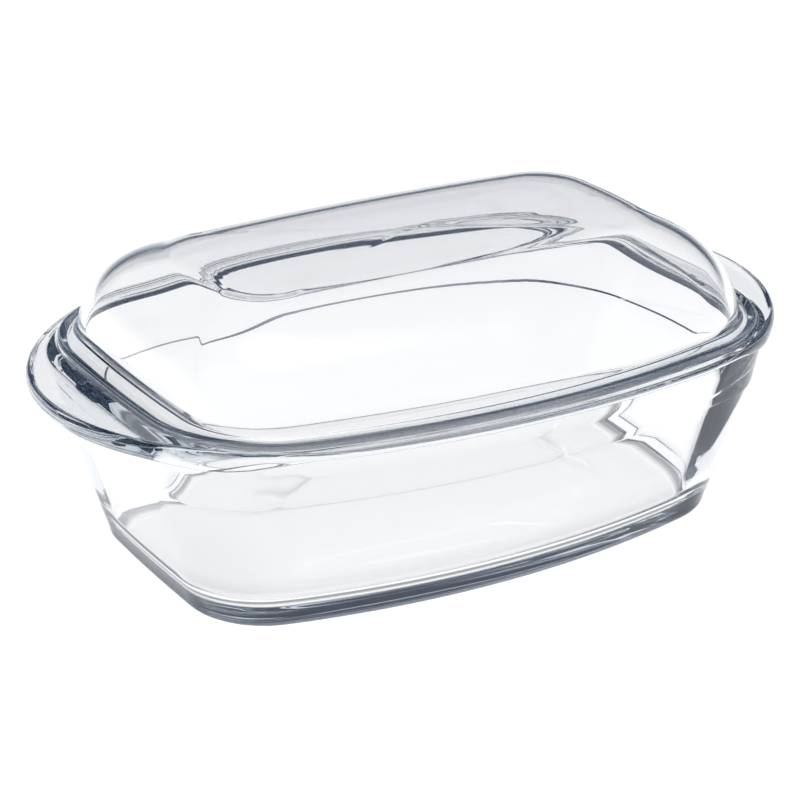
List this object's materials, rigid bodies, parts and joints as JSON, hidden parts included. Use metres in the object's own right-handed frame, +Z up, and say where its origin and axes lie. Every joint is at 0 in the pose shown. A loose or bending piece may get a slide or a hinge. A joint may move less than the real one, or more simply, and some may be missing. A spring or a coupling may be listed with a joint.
{
  "type": "covered oven dish",
  "caption": "Clear pressed-glass rectangular oven dish with wing handles and a loose domed lid that seats in a stepped rim.",
  "frame": {"origin": "bottom centre of the dish, on the plane it stands on", "axes": "+X along the length over the wing handles, +Y across the width, +Z up through the lid"},
  "size_m": [0.38, 0.254, 0.1497],
  "materials": {
    "dish_glass": "clear, fire polished",
    "lid_glass": "clear, fire polished"
  },
  "bodies": {
    "dish": {"dish": "dish_glass"},
    "lid": {"lid": "lid_glass"}
  },
  "joints": [
    {"name": "lid_lift", "type": "slide", "parent": "dish", "child": "lid", "axis": [0, 0, 1], "range_m": [0, 0.12]}
  ]
}
